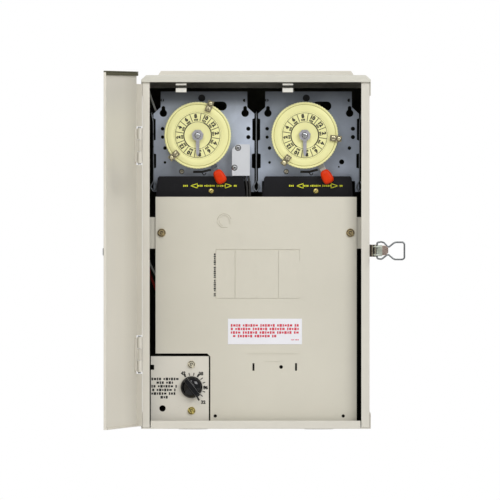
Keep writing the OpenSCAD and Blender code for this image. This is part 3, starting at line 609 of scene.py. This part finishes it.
def slotted(name, node, spots, y_seat, r, rise, mat, shank, depth, slot_w, angle=0.0, ringed=False):
    """Domed screw heads with a slot, on their shanks; ringed ones have a raised middle and broken dark rings."""
    bm = bmesh.new()
    for (x, z) in spots:
        prof = [(0, y_seat - rise), (r * 0.35, y_seat - rise * 0.97), (r * 0.62, y_seat - rise * 0.88)]
        if ringed:
            prof = [(0, y_seat - rise * 0.62), (r * 0.3, y_seat - rise * 0.62), (r * 0.36, y_seat - rise),
                    (r * 0.62, y_seat - rise * 0.98), (r * 0.7, y_seat - rise * 0.7)]
        prof += [(r * 0.86, y_seat - rise * 0.62), (r * 0.97, y_seat - rise * 0.34), (r, y_seat - 0.1),
                 (r * 0.98, y_seat), (shank, y_seat), (shank, y_seat + depth), (0, y_seat + depth + 0.5)]
        me = revolve(prof, 40, (x, z))
        bm.from_mesh(me)
        bpy.data.meshes.remove(me)
    head = add(name, mesh_of(bm, name), M[mat], E, (node,), sharp=35)
    dark = Print(y_seat - rise * (1.0 if ringed else 0.94), 0.12)
    for (x, z) in spots:
        if ringed:
            dark.arc(x, z, r * 0.34, r * 0.16, angle, angle + 285, seg=32)
            dark.arc(x, z, r * 0.8, r * 0.13, angle - 40, angle + 150, seg=40)
            dark.arc(x, z, r * 0.8, r * 0.13, angle + 180, angle + 280, seg=40)
        else:
            dark.bar(x, z, r * 1.3, slot_w, angle)
    dark.done(name + "_slots", "ink_black", E)
    return head


PLATE_SCREWS = [(-82.7, 284.6), (33.7, 284.6)]
FIREMAN_SCREWS = [(-20, 311), (-24, 289)]
slotted("deadfront_screw_heads", "deadfront_screws", [(-105, 216.6), (105, 216.6)], DEADFRONT_Y - 0.1, 4.7, 2.1,
        "antique_brass", 2.0, 9, slot_w=0.7, angle=20, ringed=True)
heads = slotted("thermostat_screw_heads", "thermostat_screws", [(-71.7, 70.3), (-71.7, 18.8)], THERMOSTAT_Y - 0.1,
                4.3, 2.0, "brass", 1.85, 9, slot_w=0.7, ringed=True)
# The upper one of the two is paler
heads.data.materials.append(M["screw_pale"])
for f in heads.data.polygons:
    f.material_index = int(f.center.z > P(0, 0, 45).z)
slotted("cover_screw_heads", "cover_screws", [(-49.9, 263), (66.7, 263)], COVER_Y - 0.1, 3.0, 1.6, "brass", 1.55,
        7, slot_w=0.6, angle=40)
slotted("plate_screw_heads", "plate_screws", PLATE_SCREWS, PLATE_Y - 0.1, 2.3, 1.4, "screw_pale", 1.2, 4.5,
        slot_w=0.55, angle=25)
slotted("fireman_screw_heads", "fireman_screws", FIREMAN_SCREWS, FIREMAN_Y - 0.1, 2.7, 1.3, "zinc_steel", 1.35, 6,
        slot_w=0.7, angle=30)

# Dark rings of painted shade round the small screws, the second slot of the fireman's switch's, and painted shadows
# under the dials drawn as curved slots
ink = Print(FIREMAN_Y, 0.05)
for spot in FIREMAN_SCREWS:
    ink.arc(*spot, 3.05, 0.6, seg=40)
ink.done("fireman_screw_shade", "ink_black", E)
ink = Print(FIREMAN_Y - 1.33, 0.1)
for spot in FIREMAN_SCREWS:
    ink.bar(*spot, 3.5, 0.7, 120)
ink.done("fireman_screw_cross", "ink_black", E)
ink = Print(PLATE_Y, 0.05)
for spot in PLATE_SCREWS:
    ink.arc(*spot, 2.6, 0.55, seg=40)
ink.done("plate_screw_shade", "ink_black", E)
# Painted shadow under each dial: a curved dark arc with a V below it
ink = Print(PLATE_Y, 0.05)
for cx, cz in (LEFT, RIGHT):
    ink.arc(cx, cz, 41.0, 2.6, 263, 291, seg=32)
    ink.bar(cx + 8.4, cz - 43.2, 3.4, 1.1, 52)
    ink.bar(cx + 5.9, cz - 43.2, 3.4, 1.1, -52)
ink.done("dial_shadow_marks", "ink_black", E)

# ---------------------------------------------------------------- trippers

TRIPPERS = {"left": (67.9, 220.5), "right": (-5.8, 233.0)}  # where they are set, in degrees
BOSS_R, HEAD_R = 38.3, 31.9  # radii their outer boss and their screw head sit at
BOSS = [(0, -108.4), (1.4, -108.3), (2.2, -107.8), (2.5, -106.9), (2.4, -106.2), (0, -106.2)]
HEAD = [(0, -109.4), (1.6, -109.4), (2.3, -109.1), (2.65, -108.6), (2.65, -107.0), (2.4, -106.4), (1.8, -106.2),
        (0, -106.2)]
for side, at in SIDES:
    body = f"{side}_dial_body"
    skin(f"{side}_trippers", 0.45, 3)
    for k, deg in enumerate(TRIPPERS[side]):
        boss, head = (polar(at, r, math.radians(deg)) for r in (BOSS_R, HEAD_R))
        add(f"{side}_tripper_boss_{k}", revolve(BOSS, 40, boss), M["brass_pale"], body,
            sharp=40)
        add(f"{side}_tripper_head_{k}", revolve(HEAD, 48, head, notched(2.6, 0.25)), M["brass_pale"], body,
            sharp=30)
        mark = Print(-106.24)
        mark.arc(*head, 2.95, 0.32, seg=40)
        mark.arc(*boss, 2.75, 0.3, seg=40)
        mark.done(f"{side}_tripper_shade_{k}", "ink_black", body)
        mark = Print(-109.38)
        mark.bar(*head, 3.6, 0.7, deg + 35)
        mark.done(f"{side}_tripper_slot_{k}", "ink_black", body)

# ---------------------------------------------------------------- lever knobs

GRIP_AT = (24.5, -103.9, -46.0)  # a grip's middle, from its dial's centre across and up, and its Y
SQUARENESS = 3.4  # 2 would make the grip a ball
for side, (cx, cz) in SIDES:
    bm = bmesh.new()
    bmesh.ops.create_cube(bm, size=1.0)
    bmesh.ops.subdivide_edges(bm, edges=bm.edges, cuts=3, use_grid_fill=True)
    for v in bm.verts:
        d = sum(abs(c * 2) ** SQUARENESS for c in v.co) ** (1 / SQUARENESS)
        x, y, z = v.co * 2 / d
        taper = 1.0 - 0.10 * (z + 1)
        v.co = Vector((x * 6.9 * taper, y * 5.1 * (1 - 0.12 * z), z * 8.3))
    turn = Matrix.Rotation(math.radians(-28), 3, "Y")
    for v in bm.verts:
        v.co = turn @ v.co
        v.co = P(cx + GRIP_AT[0] + v.co.x, GRIP_AT[1] + v.co.y, cz + GRIP_AT[2] + v.co.z)
    grip = add(f"{side}_lever_grip", mesh_of(bm, f"{side}_grip"), M["knob_orange"], f"{side}_lever",
               (f"{side}_lever_knob",), sharp=180)
    subdivided(grip, 3)

# ---------------------------------------------------------------- thermostat

KNOB_SECTION = [(0, -118.6), (3.0, -118.5), (6.0, -117.9), (8.4, -116.8), (10.2, -115.2), (11.4, -113.4),
                (12.1, -112.3), (12.2, -111.5), (9.0, -111.4), (3.0, -111.4), (3.0, -98.2), (0, -98.0)]
add("thermostat_dial_knob", revolve(KNOB_SECTION, 96, KNOB), M["knob_black"], "thermostat_knob_body",
    ("thermostat_knob",), sharp=40)
bm = bmesh.new()
bmesh.ops.create_cube(bm, size=1.0)
bmesh.ops.subdivide_edges(bm, edges=bm.edges, cuts=4, use_grid_fill=True)
turn = Matrix.Rotation(math.radians(52), 3, "Y")
for v in bm.verts:
    x, y, z = v.co * 2
    v.co = turn @ Vector((x * 12.0 + 0.8, y * 4.6, z * (3.0 + 0.9 * (1 - x * x)) * (1 + 0.22 * y)))
    v.co = P(KNOB[0] + v.co.x, -117.4 + v.co.y, KNOB[1] + v.co.z)
wing = add("thermostat_knob_wing", mesh_of(bm, "wing"), M["knob_black"], "thermostat_knob_body",
           sharp=180)
subdivided(wing, 2)

# The scale: ten ticks, four numbers and six lines of small print
ink = Print(THERMOSTAT_Y)
for i in range(10):
    deg = 120 - i * 20
    long = i % 3 == 0
    r0, r1 = 13.0, (17.0 if long else 16.2)
    ink.bar(*polar(KNOB, (r0 + r1) / 2, math.radians(deg)), r1 - r0, 1.9 if long else 1.0, deg)
for words, x, z in (("42", -80.889, 60.222), ("38", -61.222, 59.778), ("36", -56.0, 44.222), ("32", -58.667, 28.0)):
    ink.text(words, x, z, 5.0, bold=0.3)
for i, (x0, x1) in enumerate(((-116.3, -85.2), (-110.6, -89.4), (-116.3, -86.2), (-115.4, -86.6), (-116.4, -86.6),
                              (-106.2, -97.2))):
    ink.words(x0, x1, 54.0 - i * 4.05, 3.0, i)
ink.done("thermostat_print", "ink_black", E)

# ---------------------------------------------------------------- print on the dead-front and covers

ink = Print(DEADFRONT_Y)
ink.words(146, 196, -45.9, 2.3, 2, vertical=True)
ink.done("deadfront_print", "ink_black", E)
# Painted shade along a stamped ring, and the paint that bridges two of the knockout seams
ring = (-35.3, 230)
ink = Print(DEADFRONT_Y - 0.02, 0.03)
ink.arc(*ring, 7.65, 0.45, 15, 170, seg=48)
ink.arc(*ring, 5.7, 0.4, 175, 250, seg=32)
ink.bar(-35.4, 222.6, 7.5, 0.5)
ink.done("deadfront_stamp_shade", "stamp_shade", E)
paint = Print(DEADFRONT_Y)
paint.bar(1.1, 172, 0.6, 50)
paint.bar(48.6, 165, 0.7, 40)
paint.done("seam_paint", "panel_paint", E)

# Four lines of the label's warning, as blocks
ink = Print(LABEL_Y)
for i, (x0, x1) in enumerate(((-28.0, 48.6), (-28.0, 48.6), (-28.0, 48.6), (-25.6, 24.0))):
    ink.words(x0, x1, 113.6 - i * 3.95, 3.0, i * 3)
ink.words(39.0, 48.0, 97.6, 1.2, 1)
ink.done("label_print", "ink_red", E)

# An arrow each way and a few words on each black cover; x is how far it stands from the left one
for side, x in (("left", 0.0), ("right", 117.8)):
    ink = Print(COVER_Y)
    z = 268.8
    for s, tip in ((-1, -72.6), (1, -26.8)):
        base = tip - s * 7.4
        for (x0, z0), (x1, z1) in (((tip, z), (base, z + 2.5)), ((base, z + 2.5), (base, z - 2.5)),
                                   ((base, z - 2.5), (tip, z))):
            length = math.hypot(x1 - x0, z1 - z0)
            ink.bar(x + (x0 + x1) / 2, (z0 + z1) / 2, length + 0.6, 0.85, math.degrees(math.atan2(z1 - z0, x1 - x0)))
    ink.words(x - 65.0, x - 34.6, z, 2.1, 1)
    ink.words(x - 81.0, x - 75.4, z, 2.0, 0)
    ink.words(x - 24.6, x - 20.2, z, 2.0, 2)
    ink.done(f"{side}_cover_print", "ink_lime", E)

# ---------------------------------------------------------------- latch bail and wires

# Painted shade in the upright grooves and painted highlights on the ribs of the latch's base
for name, mat, bands in (("latch_base_groove_shade", "ink_black", ((127.4, 0.7), (130.9, 1.5))),
                         ("latch_base_rib_highlights", "screw_pale", ((129.2, 0.45), (132.5, 0.9)))):
    lines = Print(LATCH_Y, 0.12)
    for x, w in bands:
        lines.bar(x, 196.8, w, 12.8)
    lines.done(name, mat, E)

BAIL = [(134.5, 199.7), (134.5, 205.8), (138.9, 206.7), (142, 205.9), (147, 200.4), (154.1, 206.2),
        (163.2, 206.2), (164.8, 204.4), (164.8, 188.7), (162.8, 187.1), (153.3, 187.1), (146.6, 193),
        (139.4, 187.3), (134.5, 188.2), (134.5, 194.0)]
tube("latch_bail_wire", [rounded([(x, -136.6, z) for x, z in BAIL], 0.26, 6)], 0.95, "bail", "latch_bail",
     "bright_wire", 20)

# The leads' routes are the CAD ones, in mm
RED = [[(-90, -84, 220.2), (-104, -80, 216), (-121.2, -68, 214), (-121.2, -84, 178), (-107, -88, 143),
        (-100, -60, 124), (-95, -34, 119), (-95, -18.2, 122)],
       [(26.5, -84, 220.2), (26, -76, 214), (19, -60, 210), (19, -39.7, 207.4)]]
DARK = [[(-12.4, -93, 279.4), (-9.9, -92.8, 268), (-9.9, -92.6, 240), (-6, -80, 226), (-5, -60, 214),
         (-15, -39.7, 207.4)],
        [(-8.6, -93, 279.4), (-6.7, -92.8, 268), (-6.7, -92.6, 240), (0, -74, 212), (0, -64, 100),
         (-46, -80, 74), (-53.4, -92, 60)]]
GREY = [[(-92, -66, 346), (-104, -78, 341), (-111.6, -82.5, 352), (-117.2, -82.5, 368), (-121.3, -82, 380),
         (-121.3, -82, 330), (-121.3, -98, 232), (-121.3, -100, 188), (-108, -101, 163), (-100, -70, 142),
         (-95, -34, 137.3), (-95, -18.2, 137.3)]]
SENSOR = [(-80, -74, 31.8), (-80, -74, 16), (-86, -40, 10), (-100, -30, 8), (-106, -30, 8), (-108.5, -30, 20),
          (-108.5, -30, 24)]
LOOPS = [[(x + o, -62, 352), (x + o, -89.6, 350), (x + o / 6, -89.6, 340), (x, -89.6, 274),
          (x - 3.6, -89.6, 267.4), (x, -89.6, 262), (x + 3.6, -89.6, 267.4), (x + 1.4, -89.6, 273.6)]
         for x, o in ((-114, -2.4), (0.3, 0), (115, 2.4))]
tube("red_leads", [rounded(r) for r in RED], 1.5, E, "red_wires", "wire_red")
tube("dark_leads", [rounded(r) for r in DARK], 1.2, E, "dark_wires", "wire_dark")
tube("grey_leads", [rounded(r) for r in GREY], 1.2, E, "grey_wires", "wire_grey")
bm = bmesh.new()
for route in LOOPS:
    tube_into(bm, rounded(route, 0.25, 4), 0.0006, 12)
bmesh.ops.recalc_face_normals(bm, faces=bm.faces)
add("spring_wires", mesh_of(bm, "spring_wires"), M["spring_steel"], E, ("retaining_wires",), sharp=60)
bulb = [P(-108.5, -30, z) for z in (23.5, 25, 28, 70, 73, 74.5)]
bm = bmesh.new()
tube_into(bm, rounded(SENSOR), 0.0009, 12)
tube_into(bm, bulb, 0.0036, 24)
add("sensor_bulb", mesh_of(bm, "sensor"), M["copper"], E, ("thermostat_sensor",), sharp=60)

# ---------------------------------------------------------------- stage, light and camera

FLOOR_Z, FLOOR_HW = -0.42, 2  # metres
me = bpy.data.meshes.new("floor")
me.from_pydata([(x * FLOOR_HW, y * FLOOR_HW, FLOOR_Z) for x, y in ((-1, -1), (1, -1), (1, 1), (-1, 1))], [],
               [(0, 1, 2, 3)])
floor = bpy.data.objects.new("floor", me)
bpy.context.scene.collection.objects.link(floor)
me.materials.append(material("floor_paint", srgb(238, 237, 235), 0.8, tint=0.02, tint_scale=3, bump=0.01))

world = bpy.data.worlds.new("studio")
bpy.context.scene.world = world
world.use_nodes = True
wn, wl = world.node_tree.nodes, world.node_tree.links
wn.clear()
w_out = wn.new("ShaderNodeOutputWorld")
w_mix = wn.new("ShaderNodeMixShader")
w_path = wn.new("ShaderNodeLightPath")
# Dim white light on the pieces, plain white behind them
for socket, strength in ((1, 0.36), (2, 1.0)):
    white = wn.new("ShaderNodeBackground")
    white.inputs["Color"].default_value = (1, 1, 1, 1)
    white.inputs["Strength"].default_value = strength
    wl.new(white.outputs[0], w_mix.inputs[socket])
wl.new(w_path.outputs["Is Camera Ray"], w_mix.inputs["Fac"])
wl.new(w_mix.outputs[0], w_out.inputs[0])


def softbox(name, at, aim, size, power):
    lamp = bpy.data.lights.new(name, "AREA")
    lamp.shape = "RECTANGLE"
    lamp.size, lamp.size_y = size
    lamp.energy = power
    ob = bpy.data.objects.new(name, lamp)
    ob.location = at
    ob.rotation_mode = "QUATERNION"
    ob.rotation_quaternion = (Vector(aim) - Vector(at)).to_track_quat("-Z", "Y")
    ob.visible_camera = False
    bpy.context.scene.collection.objects.link(ob)


softbox("key", (1.45, -1.9, 1.35), (0, 0, 0.02), (1.3, 1.1), 29)
softbox("top", (-0.6, -2.0, 1.9), (0, 0, 0.02), (1.2, 0.8), 20)
softbox("back", (0.3, 1.8, 1.6), (0, 0, 0), (1.4, 1.2), 14)

cam_data = bpy.data.cameras.new("camera")
cam = bpy.data.objects.new("camera", cam_data)
bpy.context.scene.collection.objects.link(cam)
DISTANCE = 20.0  # from the lens to the front of the box, in metres
WIDTH = 500 / PHOTO_PX / 1000  # what the picture spans there
RISE = 0.125  # how far the lens stands above the middle of the picture
SENSOR_WIDTH = 36.0  # mm
cam_data.sensor_width = SENSOR_WIDTH
cam_data.lens = SENSOR_WIDTH * DISTANCE / WIDTH
# The photo's middle is pixel (250, 250); the box's bottom middle is pixel (256, 427.8)
MIDDLE = P((250 - 256) / PHOTO_PX, -127, (427.8 - 250) / PHOTO_PX)
cam.location = MIDDLE + Vector((0, -DISTANCE, RISE))
cam.rotation_euler = (math.radians(90) - math.atan(RISE / DISTANCE), 0, 0)
cam_data.clip_start, cam_data.clip_end = 0.5, 60.0
bpy.context.scene.camera = cam
bpy.context.scene.view_settings.view_transform = "Standard"
